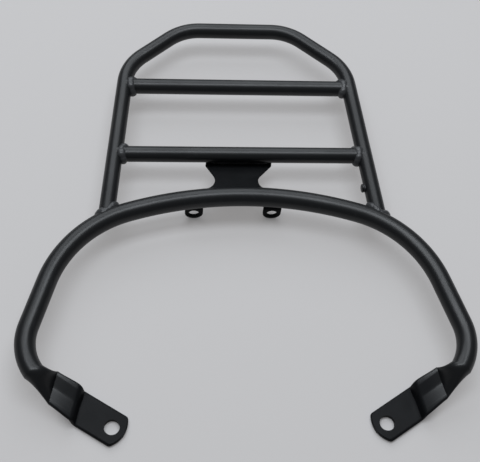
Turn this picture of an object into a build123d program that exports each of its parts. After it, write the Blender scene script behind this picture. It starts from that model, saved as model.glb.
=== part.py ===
from build123d import *
from math import cos, degrees, pi, radians, sin, sqrt
import os

# Motorcycle luggage rack in bent and welded steel tube, in millimetres.
# +Y points to the rear of the motorcycle, +X to the right as seen from behind the tabs, +Z up.
# The origin lies midway between the two front bolt holes, on the plane that their tabs sit on.

# Tube stock
HOOP_DIA = 19.0
HOOP_WALL = 2.5
BAR_DIA = 16.0
BAR_WALL = 1.2

# Main hoop: a wide crown, two shoulders, straight legs and toes that turn in
HOOP_HEIGHT = 30.0
HOOP_REACH = 223.0
CROWN_RADIUS = 359.0
CROWN_ANGLE = 18.3
SHOULDER_RADIUS = 112.0
SHOULDER_ANGLE = 55.3
LEG_LENGTH = 46.0
TOE_RADIUS = 50.0
TOE_ANGLE = 52.4

# Crushed toes: round tube, taper, sloping strip with a valley, step, flat tab
TAB_SPACING = 246.0
TAB_HOLE_DIA = 14.0
TAB_OVERHANG = 12.5
TAB_TIP_RADIUS = 24.0
TAB_CORNER_RADIUS = 3.5
TAPER_LENGTH = 19.0
TAPER_FLAT_ANGLE = 12.0
TAPER_CORNER_SHARE = 0.45
CREASE_SKEW = 20.0
CREASE_HEIGHT = 17.5
STRIP_RUN = 21.4
STEP_HEIGHT = 11.0
STEP_RUN = 2.2
STEP_RADIUS = 4.0
VALLEY_WIDTH = 20.0
VALLEY_DEPTH = 1.4
SLIT = 0.4
CRUSH_SPREAD = 1.09

# Platform loop: a rear bar, two short diagonals and two side rails that splay to the hoop
PLATFORM_DEPTH = 214.4
LOOP_DROP = 1.2
REAR_BAR_WIDTH = 115.4
RAIL_REAR_SPACING = 233.8
RAIL_FRONT_SPACING = 267.0
DIAGONAL_DEPTH = 51.0
LOOP_BEND_RADIUS = 51.0

# Crossbars: the front axis behind the hoop's crown, the rear axis ahead of the loop's corners
FRONT_BAR_SETBACK = 50.5
REAR_BAR_AHEAD = 26.9

# Folded bracket under the crown: a waisted web that leans to the right and two ears bent down
SHEET = 3.0
BRACKET_SHIFT = -9.0
WEB_LEAN = 0.132
WEB_REAR_WIDTH = 67.0
WEB_WAIST_WIDTH = 44.0
WEB_HIP_WIDTH = 57.5
WEB_BEHIND_BAR = 5.0
WEB_WAIST_SETBACK = 27.0
WEB_HIP_SETBACK = 15.5
WEB_SHOULDER_SETBACK = 46.5
EAR_SPACING = 78.0
EAR_WIDTH = 18.0
EAR_HOLE_DIA = 10.5
EAR_FACE_AHEAD = 7.1
EAR_BEND_RADIUS = 2.0
EAR_ROOT = 1.0

# Strap peg on the right rail
PEG_SETBACK = 12.0
PEG_HEAD_DIA = 8.6
PEG_HEAD_LENGTH = 2.4
PEG_NECK_DIA = 5.6
PEG_NECK_LENGTH = 0.8
PEG_DOME = 1.2

# Weld beads
BEAD_RADIUS = 3.2
BEAD_SINK = 1.7
BEAD_PITCH = 2.8
SEAM_POINTS = 24
FILLET_LEG = 3.0
FILLET_ROOT = 2.5
FILLET_TOE = 1.8
BAR_FILLET_RUN = 58.0
HOOP_FILLET_RUN = 44.0
PEG_BEAD = 0.7

os.makedirs("parts", exist_ok=True)

UP = Vector(0, 0, 1)
HOOP_R = HOOP_DIA / 2
BAR_R = BAR_DIA / 2
LOOP_HEIGHT = HOOP_HEIGHT - LOOP_DROP
UNDERSIDE = HOOP_HEIGHT - HOOP_R
CRUSH_WIDTH = CRUSH_SPREAD * (pi * (HOOP_DIA - HOOP_WALL) / 2 + HOOP_WALL)
CRUSH_THICK = 2 * HOOP_WALL


# Right half of the hoop's centreline, from the middle of the crown to the round end of the toe
with BuildLine() as half_hoop:
    crown = JernArc((0, HOOP_REACH, HOOP_HEIGHT), (1, 0, 0), CROWN_RADIUS, -CROWN_ANGLE)
    shoulder = JernArc(crown @ 1, crown % 1, SHOULDER_RADIUS, -SHOULDER_ANGLE)
    leg = Line(shoulder @ 1, shoulder @ 1 + (shoulder % 1) * LEG_LENGTH)
    toe = JernArc(leg @ 1, leg % 1, TOE_RADIUS, -TOE_ANGLE)
toe_end = toe @ 1
toe_dir = toe % 1

# The crushed strip aims from the end of the toe at the bolt hole
tab_hole = Vector(TAB_SPACING / 2, 0, 0)
aim = tab_hole - Vector(toe_end.X, toe_end.Y, 0)
strip_dir = aim.normalized()
press_dir = strip_dir.rotate(Axis.Z, -CREASE_SKEW)
crease = Vector(toe_end.X, toe_end.Y, 0) + strip_dir * TAPER_LENGTH
hole_reach = aim.length - TAPER_LENGTH
strip_slope = (CREASE_HEIGHT - STEP_HEIGHT - HOOP_WALL) / STRIP_RUN
crease_thick = CRUSH_THICK * sqrt(1 + strip_slope**2)
crease_width = CRUSH_WIDTH / cos(radians(CREASE_SKEW))
toe_plane = Plane(toe_end, x_dir=UP.cross(toe_dir), z_dir=toe_dir)
crease_plane = Plane(crease + UP * CREASE_HEIGHT, x_dir=UP.cross(press_dir), z_dir=press_dir)


def ring_of_arcs(radius):
    """A circle in eight arcs, with a narrow arc on each side to meet a side of the flat end."""
    turn = -TAPER_FLAT_ANGLE / 2
    for _ in range(4):
        CenterArc((0, 0), radius, turn, TAPER_FLAT_ANGLE)
        CenterArc((0, 0), radius, turn + TAPER_FLAT_ANGLE, 90 - TAPER_FLAT_ANGLE)
        turn += 90


def flat_ring(width, height):
    """A rectangle with round corners, in the same eight pieces as the ring of arcs."""
    corner = TAPER_CORNER_SHARE * height
    x = width / 2
    y = height / 2
    Line((x, corner - y), (x, y - corner))
    RadiusArc((x, y - corner), (x - corner, y), -corner)
    Line((x - corner, y), (corner - x, y))
    RadiusArc((corner - x, y), (-x, y - corner), -corner)
    Line((-x, y - corner), (-x, corner - y))
    RadiusArc((-x, corner - y), (corner - x, -y), -corner)
    Line((corner - x, -y), (x - corner, -y))
    RadiusArc((x - corner, -y), (x, corner - y), -corner)


# Strip and tab of the right toe: a bent profile, trimmed to its outline in plan
with BuildPart() as toe_strip:
    with BuildSketch(Plane(crease, x_dir=press_dir, z_dir=press_dir.cross(UP))):
        with BuildLine():
            FilletPolyline(
                (-STRIP_RUN, CREASE_HEIGHT + STRIP_RUN * strip_slope),
                (STRIP_RUN, STEP_HEIGHT + HOOP_WALL),
                (STRIP_RUN + STEP_RUN, HOOP_WALL),
                (hole_reach + CRUSH_WIDTH, HOOP_WALL),
                radius=STEP_RADIUS,
            )
        trace(line_width=CRUSH_THICK)
        with Locations((hole_reach + CRUSH_WIDTH, 0)):
            Rectangle(
                2 * (hole_reach + CRUSH_WIDTH),
                4 * HOOP_HEIGHT,
                mode=Mode.INTERSECT,
            )
    extrude(amount=2 * CRUSH_WIDTH, both=True)
    with BuildSketch(Plane(crease, x_dir=strip_dir, z_dir=UP)):
        tip = hole_reach + TAB_OVERHANG
        corner = tip - TAB_TIP_RADIUS + sqrt(TAB_TIP_RADIUS**2 - CRUSH_WIDTH**2 / 4)
        with BuildLine():
            ThreePointArc((corner, -CRUSH_WIDTH / 2), (tip, 0), (corner, CRUSH_WIDTH / 2))
            Polyline(
                (corner, CRUSH_WIDTH / 2),
                (-CRUSH_WIDTH, CRUSH_WIDTH / 2),
                (-CRUSH_WIDTH, -CRUSH_WIDTH / 2),
                (corner, -CRUSH_WIDTH / 2),
            )
        make_face()
        fillet(vertices().sort_by(Axis.X)[-2:], radius=TAB_CORNER_RADIUS)
    extrude(amount=2 * HOOP_HEIGHT, mode=Mode.INTERSECT)
    with BuildSketch(Plane.XY):
        with Locations((tab_hole.X, tab_hole.Y)):
            Circle(TAB_HOLE_DIA / 2)
    extrude(amount=HOOP_HEIGHT, mode=Mode.SUBTRACT)
    valley_dir = strip_dir - UP * strip_slope * cos(radians(CREASE_SKEW))
    valley_top = crease + UP * (CREASE_HEIGHT + crease_thick / 2) - valley_dir * VALLEY_WIDTH
    with BuildSketch(Plane(valley_top, x_dir=UP.cross(strip_dir), z_dir=valley_dir)):
        with BuildLine():
            Polyline(
                (-VALLEY_WIDTH / 2, 0),
                (0, -VALLEY_DEPTH),
                (VALLEY_WIDTH / 2, 0),
                (0, VALLEY_DEPTH),
                close=True,
            )
        make_face()
    extrude(amount=VALLEY_WIDTH + STRIP_RUN + STEP_RUN, mode=Mode.SUBTRACT)

# Main hoop: the tube, its tapers and its tabs
with BuildPart() as main_hoop:
    with BuildSketch(Plane(crown @ 0, z_dir=crown % 0)):
        Circle(HOOP_R)
        Circle(HOOP_R - HOOP_WALL, mode=Mode.SUBTRACT)
    sweep(path=half_hoop.wire())
    with BuildSketch(toe_plane):
        with BuildLine():
            ring_of_arcs(HOOP_R)
        make_face()
    with BuildSketch(crease_plane):
        with BuildLine():
            flat_ring(crease_width, crease_thick)
        make_face()
    loft(ruled=True)
    with BuildSketch(toe_plane):
        with BuildLine():
            ring_of_arcs(HOOP_R - HOOP_WALL)
        make_face()
    with BuildSketch(crease_plane):
        with BuildLine():
            flat_ring(crease_width - 4 * HOOP_WALL, SLIT)
        make_face()
    loft(ruled=True, mode=Mode.SUBTRACT)
    add(toe_strip.part)
    mirror(about=Plane.YZ)
main_hoop.part.label = "main_hoop"
export_step(main_hoop.part, "parts/main_hoop.step")

# Solid rods in the shape of the tubes' outsides, for coping the ends that meet them
with BuildPart() as hoop_rod:
    with BuildSketch(Plane(crown @ 0, z_dir=crown % 0)):
        Circle(HOOP_R)
    sweep(path=half_hoop.wire())
    mirror(about=Plane.YZ)

# Centreline of the platform loop, from the left foot round to the right foot
foot_x = RAIL_FRONT_SPACING / 2
hub = shoulder.arc_center
foot = Vector(foot_x, hub.Y + sqrt(SHOULDER_RADIUS**2 - (foot_x - hub.X) ** 2), LOOP_HEIGHT)
rear_y = HOOP_REACH + PLATFORM_DEPTH
rail_top = Vector(RAIL_REAR_SPACING / 2, rear_y - DIAGONAL_DEPTH, LOOP_HEIGHT)
rail_dir = (foot - rail_top).normalized()
with BuildLine() as loop_path:
    FilletPolyline(
        (-foot.X, foot.Y, LOOP_HEIGHT),
        (-rail_top.X, rail_top.Y, LOOP_HEIGHT),
        (-REAR_BAR_WIDTH / 2, rear_y, LOOP_HEIGHT),
        (REAR_BAR_WIDTH / 2, rear_y, LOOP_HEIGHT),
        (rail_top.X, rail_top.Y, LOOP_HEIGHT),
        (foot.X, foot.Y, LOOP_HEIGHT),
        radius=LOOP_BEND_RADIUS,
    )
loop_spine = loop_path.wire()
with BuildPart() as loop_rod:
    with BuildSketch(Plane(loop_spine @ 0, z_dir=loop_spine % 0)):
        Circle(BAR_R)
    sweep(path=loop_spine)

# Platform loop, coped onto the back of the hoop
with BuildPart() as platform_loop:
    with BuildSketch(Plane(loop_spine @ 0, z_dir=loop_spine % 0)):
        Circle(BAR_R)
        Circle(BAR_R - BAR_WALL, mode=Mode.SUBTRACT)
    sweep(path=loop_spine)
    add(hoop_rod.part, mode=Mode.SUBTRACT)
platform_loop.part.label = "platform_loop"
export_step(platform_loop.part, "parts/platform_loop.step")


def rail_point(setback):
    """The point of the right rail's axis that lies this far behind the crown."""
    share = (HOOP_REACH + setback - rail_top.Y) / (foot.Y - rail_top.Y)
    return rail_top + (foot - rail_top) * share


def bead_places(start, along, main_point, main_dir, main_radius):
    """Places of a bead's ripples, a pitch apart round the seam of a bar that runs into a larger tube."""
    across = UP.cross(along)
    slant = along - main_dir * along.dot(main_dir)
    points = []
    for step in range(SEAM_POINTS):
        turn = 2 * pi * (step + 0.5) / SEAM_POINTS
        rim = across * cos(turn) + UP * sin(turn)
        reach = start + rim * BAR_R - main_point
        reach -= main_dir * reach.dot(main_dir)
        half = slant.dot(reach) / slant.dot(slant)
        rest = (reach.dot(reach) - main_radius**2) / slant.dot(slant)
        travel = sqrt(max(half**2 - rest, 0)) - half
        points.append(start + rim * (BAR_R - BEAD_SINK * abs(sin(turn))) + along * travel)
    seam = Edge.make_spline(points, periodic=True)
    ripples = round(seam.length / BEAD_PITCH)
    places = []
    for ripple in range(ripples):
        share = seam.length * ripple / ripples
        centre = seam.position_at(share, position_mode=PositionMode.LENGTH)
        ahead = seam.tangent_at(share, position_mode=PositionMode.LENGTH)
        inward = start + along * (centre - start).dot(along) - centre
        places.append(Plane(centre, x_dir=inward, z_dir=ahead))
    return places


# Crossbars, coped between the rails, with a weld bead round each end
rear_bar_setback = rail_top.Y - REAR_BAR_AHEAD - HOOP_REACH
for place, setback in (("front", FRONT_BAR_SETBACK), ("rear", rear_bar_setback)):
    right_end = rail_point(setback)
    with BuildPart() as crossbar:
        with BuildSketch(Plane((0, right_end.Y, LOOP_HEIGHT), x_dir=(0, 1, 0), z_dir=(1, 0, 0))):
            Circle(BAR_R)
            Circle(BAR_R - BAR_WALL, mode=Mode.SUBTRACT)
        extrude(amount=right_end.X, both=True)
        add(loop_rod.part, mode=Mode.SUBTRACT)
    crossbar.part.label = place + "_crossbar"
    export_step(crossbar.part, "parts/" + place + "_crossbar.step")

    ripples = bead_places(right_end, Vector(-1, 0, 0), right_end, rail_dir, BAR_R)
    with BuildPart() as right_bead:
        with Locations(*ripples):
            Sphere(BEAD_RADIUS)
        add(loop_rod.part, mode=Mode.SUBTRACT)
        with Locations(Location((0, right_end.Y, LOOP_HEIGHT), (0, 90, 0))):
            Cylinder(BAR_R, 2 * right_end.X, mode=Mode.SUBTRACT)
    right_bead.part.label = "weld_" + place + "_crossbar_right"
    export_step(right_bead.part, "parts/weld_" + place + "_crossbar_right.step")
    with BuildPart() as left_bead:
        add(right_bead.part)
        mirror(about=Plane.YZ, mode=Mode.REPLACE)
    left_bead.part.label = "weld_" + place + "_crossbar_left"
    export_step(left_bead.part, "parts/weld_" + place + "_crossbar_left.step")

# Weld beads where the loop's feet meet the hoop
foot_radial = (Vector(foot.X, foot.Y, 0) - Vector(hub.X, hub.Y, 0)).normalized()
hoop_axis = Vector(foot.X, foot.Y, HOOP_HEIGHT)
ripples = bead_places(foot, rail_dir * -1, hoop_axis, foot_radial.cross(UP), HOOP_R)
with BuildPart() as right_foot_bead:
    with Locations(*ripples):
        Sphere(BEAD_RADIUS)
    add(hoop_rod.part, mode=Mode.SUBTRACT)
    add(loop_rod.part, mode=Mode.SUBTRACT)
right_foot_bead.part.label = "weld_loop_foot_right"
export_step(right_foot_bead.part, "parts/weld_loop_foot_right.step")
with BuildPart() as left_foot_bead:
    add(right_foot_bead.part)
    mirror(about=Plane.YZ, mode=Mode.REPLACE)
left_foot_bead.part.label = "weld_loop_foot_left"
export_step(left_foot_bead.part, "parts/weld_loop_foot_left.step")

# Centre bracket: one ear, folded and rounded, then the web with both ears
ear_face = HOOP_REACH - EAR_FACE_AHEAD
fold = ear_face + SHEET + EAR_BEND_RADIUS
with BuildPart() as ear:
    with BuildSketch(Plane.YZ):
        with BuildLine():
            FilletPolyline(
                (ear_face + SHEET / 2, 0),
                (ear_face + SHEET / 2, UNDERSIDE - SHEET / 2),
                (fold + SHEET, UNDERSIDE - SHEET / 2),
                radius=EAR_BEND_RADIUS + SHEET / 2,
            )
        trace(line_width=SHEET)
    extrude(amount=EAR_WIDTH / 2, both=True)
    with BuildSketch(Plane.XZ.offset(-ear_face)):
        with Locations((0, EAR_WIDTH / 2)):
            Circle(EAR_WIDTH / 2)
            Rectangle(EAR_WIDTH, 2 * HOOP_HEIGHT, align=(Align.CENTER, Align.MIN))
            Circle(EAR_HOLE_DIA / 2, mode=Mode.SUBTRACT)
    extrude(amount=-HOOP_REACH, mode=Mode.INTERSECT)


def web_point(side, width, setback):
    """A point on one edge of the web, whose middle line leans across on its way to the crossbar."""
    return (side * width / 2 + WEB_LEAN * (setback + EAR_FACE_AHEAD), setback)


ear_edge = (EAR_SPACING + EAR_WIDTH) / 2
fold_setback = fold - HOOP_REACH
rear_setback = FRONT_BAR_SETBACK + WEB_BEHIND_BAR
with BuildPart() as centre_bracket:
    with BuildSketch(Plane((BRACKET_SHIFT, HOOP_REACH, UNDERSIDE - SHEET))):
        with BuildLine():
            for side in (1, -1):
                ThreePointArc(
                    web_point(side, WEB_REAR_WIDTH, WEB_SHOULDER_SETBACK),
                    web_point(side, WEB_WAIST_WIDTH, WEB_WAIST_SETBACK),
                    web_point(side, WEB_HIP_WIDTH, WEB_HIP_SETBACK),
                )
                Polyline(
                    web_point(side, WEB_HIP_WIDTH, WEB_HIP_SETBACK),
                    (side * ear_edge, fold_setback + EAR_ROOT),
                    (side * ear_edge, fold_setback),
                    (0, fold_setback),
                )
                Polyline(
                    web_point(side, WEB_REAR_WIDTH, WEB_SHOULDER_SETBACK),
                    web_point(side, WEB_REAR_WIDTH, rear_setback),
                    web_point(0, WEB_REAR_WIDTH, rear_setback),
                )
        make_face()
    extrude(amount=SHEET)
    with Locations((BRACKET_SHIFT - EAR_SPACING / 2, 0), (BRACKET_SHIFT + EAR_SPACING / 2, 0)):
        add(ear.part)
centre_bracket.part.label = "centre_bracket"
export_step(centre_bracket.part, "parts/centre_bracket.step")

# Strap peg on the inner side of the right rail: a short neck and a domed head
peg_base = rail_point(PEG_SETBACK)
peg_dir = rail_dir.cross(UP)
peg_plane = Plane(peg_base, x_dir=peg_dir, z_dir=UP)
peg_axis = Axis(peg_base, peg_dir)
head_start = BAR_R + PEG_NECK_LENGTH
head_end = head_start + PEG_HEAD_LENGTH
with BuildPart() as strap_peg:
    with BuildSketch(peg_plane):
        with BuildLine():
            Polyline(
                (head_end, 0),
                (0, 0),
                (0, PEG_NECK_DIA / 2),
                (head_start, PEG_NECK_DIA / 2),
                (head_start, PEG_HEAD_DIA / 2),
                (head_end - PEG_DOME, PEG_HEAD_DIA / 2),
            )
            TangentArc((head_end, 0), (head_end - PEG_DOME, PEG_HEAD_DIA / 2), tangent=(0, 1))
        make_face()
    revolve(axis=peg_axis)
    add(loop_rod.part, mode=Mode.SUBTRACT)
strap_peg.part.label = "strap_peg"
export_step(strap_peg.part, "parts/strap_peg.step")

with BuildPart() as peg_bead:
    with BuildSketch(peg_plane):
        with BuildLine():
            Polyline(
                (BAR_R + PEG_BEAD, PEG_NECK_DIA / 2),
                (BAR_R - 2 * PEG_BEAD, PEG_NECK_DIA / 2),
                (BAR_R - 2 * PEG_BEAD, PEG_NECK_DIA / 2 + 1.5 * PEG_BEAD),
                close=True,
            )
        make_face()
    revolve(axis=peg_axis)
    add(loop_rod.part, mode=Mode.SUBTRACT)
peg_bead.part.label = "weld_strap_peg"
export_step(peg_bead.part, "parts/weld_strap_peg.step")


def fillet_outline(tube_radius, gap):
    """Section of a fillet weld beside a tube that lies on the web, measured from below its axis."""
    lift = sqrt(tube_radius**2 - (tube_radius + gap - FILLET_LEG) ** 2)
    Polyline(
        (FILLET_ROOT, 0),
        (lift + FILLET_TOE, 0),
        (lift, FILLET_LEG),
        (FILLET_ROOT, FILLET_LEG),
        close=True,
    )


# Fillet welds between the bracket's web and the two tubes above it
bar_y = HOOP_REACH + FRONT_BAR_SETBACK
bar_weld_x = BRACKET_SHIFT + web_point(0, 0, FRONT_BAR_SETBACK)[0]
bar_weld_plane = Plane((bar_weld_x, bar_y, UNDERSIDE), x_dir=(0, -1, 0), z_dir=(-1, 0, 0))
with BuildPart() as bar_weld:
    with BuildSketch(bar_weld_plane):
        with BuildLine():
            fillet_outline(BAR_R, HOOP_R - BAR_R - LOOP_DROP)
        make_face()
    extrude(amount=BAR_FILLET_RUN / 2, both=True)
    with Locations(Location((0, bar_y, LOOP_HEIGHT), (0, 90, 0))):
        Cylinder(BAR_R, WEB_REAR_WIDTH * 2, mode=Mode.SUBTRACT)
bar_weld.part.label = "weld_bracket_crossbar"
export_step(bar_weld.part, "parts/weld_bracket_crossbar.step")

crown_hub = Vector(0, HOOP_REACH - CROWN_RADIUS, UNDERSIDE)
weld_turn = degrees(HOOP_FILLET_RUN / CROWN_RADIUS)
hoop_weld_x = BRACKET_SHIFT + web_point(0, 0, HOOP_R)[0]
weld_start = Vector(0, 1, 0).rotate(Axis.Z, weld_turn / 2 - degrees(hoop_weld_x / CROWN_RADIUS))
hoop_weld_base = crown_hub + weld_start * CROWN_RADIUS
with BuildPart() as hoop_weld:
    with BuildSketch(Plane(hoop_weld_base, x_dir=weld_start, z_dir=weld_start.cross(UP))):
        with BuildLine():
            fillet_outline(HOOP_R, 0)
        make_face()
    revolve(axis=Axis(crown_hub, UP * -1), revolution_arc=weld_turn)
    add(hoop_rod.part, mode=Mode.SUBTRACT)
hoop_weld.part.label = "weld_bracket_hoop"
export_step(hoop_weld.part, "parts/weld_bracket_hoop.step")
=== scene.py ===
"""Looks of a motorcycle luggage rack in welded, black powder-coated steel tube."""

import math

import bmesh
import bpy
from bpy.props import FloatProperty, FloatVectorProperty, PointerProperty
from mathutils import Matrix, Vector


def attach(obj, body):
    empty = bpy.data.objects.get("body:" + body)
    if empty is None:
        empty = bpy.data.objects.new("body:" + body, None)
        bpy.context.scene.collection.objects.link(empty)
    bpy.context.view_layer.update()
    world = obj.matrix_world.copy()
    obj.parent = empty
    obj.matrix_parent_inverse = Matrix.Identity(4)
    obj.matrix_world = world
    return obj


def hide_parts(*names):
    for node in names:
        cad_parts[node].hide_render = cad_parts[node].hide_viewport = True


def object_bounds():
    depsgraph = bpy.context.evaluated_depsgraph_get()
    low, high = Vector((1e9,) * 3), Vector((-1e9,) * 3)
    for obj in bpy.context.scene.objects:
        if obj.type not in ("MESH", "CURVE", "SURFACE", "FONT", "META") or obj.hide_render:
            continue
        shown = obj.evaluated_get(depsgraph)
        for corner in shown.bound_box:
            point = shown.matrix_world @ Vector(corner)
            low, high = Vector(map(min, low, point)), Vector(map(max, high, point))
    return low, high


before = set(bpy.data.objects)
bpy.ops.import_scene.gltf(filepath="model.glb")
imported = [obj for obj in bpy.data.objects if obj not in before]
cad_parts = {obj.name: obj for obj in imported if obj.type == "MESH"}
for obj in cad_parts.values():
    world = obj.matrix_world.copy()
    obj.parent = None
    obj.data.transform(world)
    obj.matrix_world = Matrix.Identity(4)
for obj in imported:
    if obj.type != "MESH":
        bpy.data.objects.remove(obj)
CAD_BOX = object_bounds()

bl_info = {
    "name": "Tube luggage rack",
    "version": (1, 0, 0),
    "blender": (4, 5, 0),
    "location": "3D View > Sidebar > Rack",
    "description": "Models and coats a welded tube luggage rack",
    "category": "Object",
}

MM = 0.001
UP = Vector((0, 0, 1))
# Closer than this counts as one place
NEAR = 0.001 * MM


def length(name, millimetres, description):
    """A size in the panel, given in millimetres and kept in metres."""
    return FloatProperty(
        name=name, description=description, default=millimetres * MM, min=0, unit="LENGTH", precision=4
    )


def pair(name, sizes, description):
    """Two sizes in the panel, given in millimetres and kept in metres."""
    default = [size * MM for size in sizes]
    return FloatVectorProperty(
        name=name, description=description, default=default, size=2, min=0, unit="LENGTH", precision=4
    )


def angle(name, turn, description):
    """A turn in the panel, given in degrees."""
    default = math.radians(turn)
    return FloatProperty(name=name, description=description, default=default, subtype="ANGLE")


def colour(name, value, description):
    """A colour in the panel."""
    return FloatVectorProperty(
        name=name, description=description, default=value, size=3, min=0, max=1, subtype="COLOR"
    )


def share(name, value, description):
    """A plain number from 0 to 1 in the panel."""
    return FloatProperty(
        name=name, description=description, default=value, min=0, max=1, subtype="FACTOR"
    )


def number(name, value, description):
    """A plain number in the panel."""
    return FloatProperty(name=name, description=description, default=value)


class RackHoopSizes(bpy.types.PropertyGroup):
    """Sizes of the bent hoop."""

    tube_dia: length("Tube diameter", 19.0, "Outside of the hoop's tube")
    tube_wall: length("Tube wall", 2.5, "Wall of the hoop's tube")
    height: length("Axis height", 30.0, "Height of the hoop's axis above the tabs")
    reach: length("Reach", 223.0, "From the bolt holes to the middle of the crown")
    crown_radius: length("Crown radius", 359.0, "Bend of the flat crown")
    crown_angle: angle("Crown angle", 18.3, "Turn of half the crown")
    shoulder_radius: length("Shoulder radius", 112.0, "Bend of a shoulder")
    shoulder_angle: angle("Shoulder angle", 55.3, "Turn of a shoulder")
    leg_length: length("Leg length", 46.0, "Straight run of a leg")
    toe_radius: length("Toe radius", 50.0, "Bend of a toe")
    toe_angle: angle("Toe angle", 52.4, "Turn of a toe")


class RackToeSizes(bpy.types.PropertyGroup):
    """Sizes of a crushed toe."""

    tab_spacing: length("Tab spacing", 246.0, "Between the two bolt holes")
    hole_dia: length("Hole diameter", 14.0, "Bolt hole of a tab")
    overhang: length("Overhang", 12.5, "From the hole to the tab's tip")
    tip_radius: length("Tip radius", 24.0, "Bend of the tab's tip in plan")
    corner_radius: length("Corner radius", 3.5, "Round corners of the tip in plan")
    taper_length: length("Taper length", 19.0, "From the round tube to the crease")
    corner_share: share("Edge roundness", 0.45, "Edge radius over the thickness")
    crease_skew: angle("Crease skew", 20.0, "Turn of the crease and the step in plan")
    crease_height: length("Crease height", 17.5, "Middle of the strip at the crease")
    strip_run: length("Strip run", 21.4, "From the crease to the step")
    step_height: length("Step height", 11.0, "Drop of the step")
    step_run: length("Step run", 2.2, "Length of the step in plan")
    step_radius: length("Step radius", 3.2, "Bends above and below the step")
    valley_width: length("Valley width", 22.0, "Width of the pressed valley")
    valley_depth: length("Valley depth", 1.8, "Depth of the pressed valley")
    valley_fade: length("Valley fade", 8.0, "Length over which the valley runs out")
    valley_keep: share("Valley left", 0.8, "Share of the valley that reaches the step")
    strip_roll: angle("Strip roll", 5.5, "Roll of the strip, rear edge up")
    valley_soft: share("Valley softness", 0.12, "Rounding of the valley's floor")
    dish_depth: length("Dish depth", 0.5, "Depth of the faint dish in the tab")
    dish_length: length("Dish length", 15.0, "From the step to the end of the dish")
    spread: number("Spread", 1.09, "How much the press widens the flattened tube")
    thumb: number("Thumb", 2.2, "How long the tube stays round before it is flat")
    dive: number("Dive", 2.0, "How late the axis of the taper goes down")


class RackLoopSizes(bpy.types.PropertyGroup):
    """Sizes of the platform loop and its crossbars, where beads and peg sit on them."""

    tube_dia: length("Tube diameter", 16.0, "Outside of the thinner tube")
    axis_height: length("Axis height", 28.8, "Height of the platform's axis")
    rear_spacing: length("Rear spacing", 233.8, "Between the rails' rear corners")
    front_spacing: length("Front spacing", 267.0, "Between the rails at the hoop")
    corner_reach: length("Corner reach", 386.4, "From the holes to the rails' corners")
    front_bar: length("Front crossbar", 273.5, "From the holes to the front crossbar")
    rear_bar: length("Rear crossbar", 359.5, "From the holes to the rear crossbar")


class RackBracketSizes(bpy.types.PropertyGroup):
    """Sizes of the folded bracket."""

    sheet: length("Sheet", 3.0, "Thickness of the sheet")
    shift: length("Shift", 9.0, "How far left of the middle the ears sit")
    lean: number("Lean", 0.132, "Sideways lean of the web over its run")
    hip: pair("Hip", (65.0, 15.5), "Web where it widens to the ears: width, behind the crown")
    waist: pair("Waist", (44.0, 23.5), "Web at its waist: width, behind the crown")
    flank: pair("Flank", (51.0, 33.0), "Web where its straight flank starts: width, behind the crown")
    shoulder: pair("Shoulder", (67.0, 43.5), "Web's rear corner: width, behind the crown")
    rear: pair("Rear", (67.0, 55.5), "Web's rear edge: width, behind the crown")
    ear_spacing: length("Ear spacing", 78.0, "Between the ears' holes")
    ear_width: length("Ear width", 18.0, "Width of an ear")
    ear_hole_dia: length("Ear hole", 10.5, "Hole of an ear")
    ear_ahead: length("Ear face", 7.1, "Ears' front face ahead of the crown")
    bend_radius: length("Bend radius", 2.0, "Inside of the fold")
    edge_round: length("Edge rounding", 0.45, "Coated edges of the sheet")


class RackPegSizes(bpy.types.PropertyGroup):
    """Sizes of the strap peg."""

    setback: length("Setback", 12.0, "Behind the crown, along the rail")
    head_dia: length("Head diameter", 8.6, "Domed head")
    head_length: length("Head length", 2.4, "Head with its dome")
    neck_dia: length("Neck diameter", 5.6, "Neck under the head")
    neck_length: length("Neck length", 0.8, "Neck between tube and head")
    dome: length("Dome", 1.2, "Height of the dome")


class RackBeadSizes(bpy.types.PropertyGroup):
    """Sizes of the weld beads."""

    radius: length("Bead radius", 3.3, "Round section of a bead")
    sink: length("Sink", 2.2, "How deep a bead sits in its corner, above and below")
    proud: length("Proud", 0.4, "How far a bead stands out of its corner, at the sides")
    stretch: number("Stretch", 1.3, "Length of a bead's section along its bar over its height")
    collar: length("Collar", 6.6, "Least distance of a crossbar's bead from the rail's axis")
    pitch: length("Pitch", 4.2, "Between two ripples")
    ripple: share("Ripple", 0.07, "Height of the ripples over the radius")
    wander: share("Wander", 0.11, "Slow change of the bead's thickness")
    fillet_radius: length("Fillet radius", 2.0, "Section of the beads on the web")
    bar_run: length("Crossbar run", 58.0, "Bead between web and crossbar")
    hoop_run: length("Hoop run", 44.0, "Bead between web and crown")
    peg_radius: length("Peg bead", 0.9, "Bead at the foot of the peg")


class RackCoat(bpy.types.PropertyGroup):
    """Colour and feel of the powder coat."""

    black: colour("Black", (0.0035, 0.0039, 0.0045), "Coat on the tubes")
    dust: colour("Dust", (0.03, 0.03, 0.031), "Fine dust and rubbed places")
    bead_black: colour("Bead black", (0.028, 0.0285, 0.03), "Thin coat on the beads")
    sheen: share("Sheen", 0.08, "Specular level of the dull black under the gloss")
    sheet_sheen: share("Sheet sheen", 0.03, "Specular level of the sheet bracket")
    gloss_roughness: share("Gloss roughness", 0.32, "Roughness of the glossy skin")
    pressed_gloss: share("Pressed gloss", 0.03, "Glossy skin left on the pressed flats")
    pressed: pair("Pressed", (37.0, 73.0), "From a bolt hole to the dull flat's end, to full gloss")
    peel: length("Peel size", 2.2, "Ripples of the coat")
    grain: length("Grain size", 0.45, "Fine texture of the coat")


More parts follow.
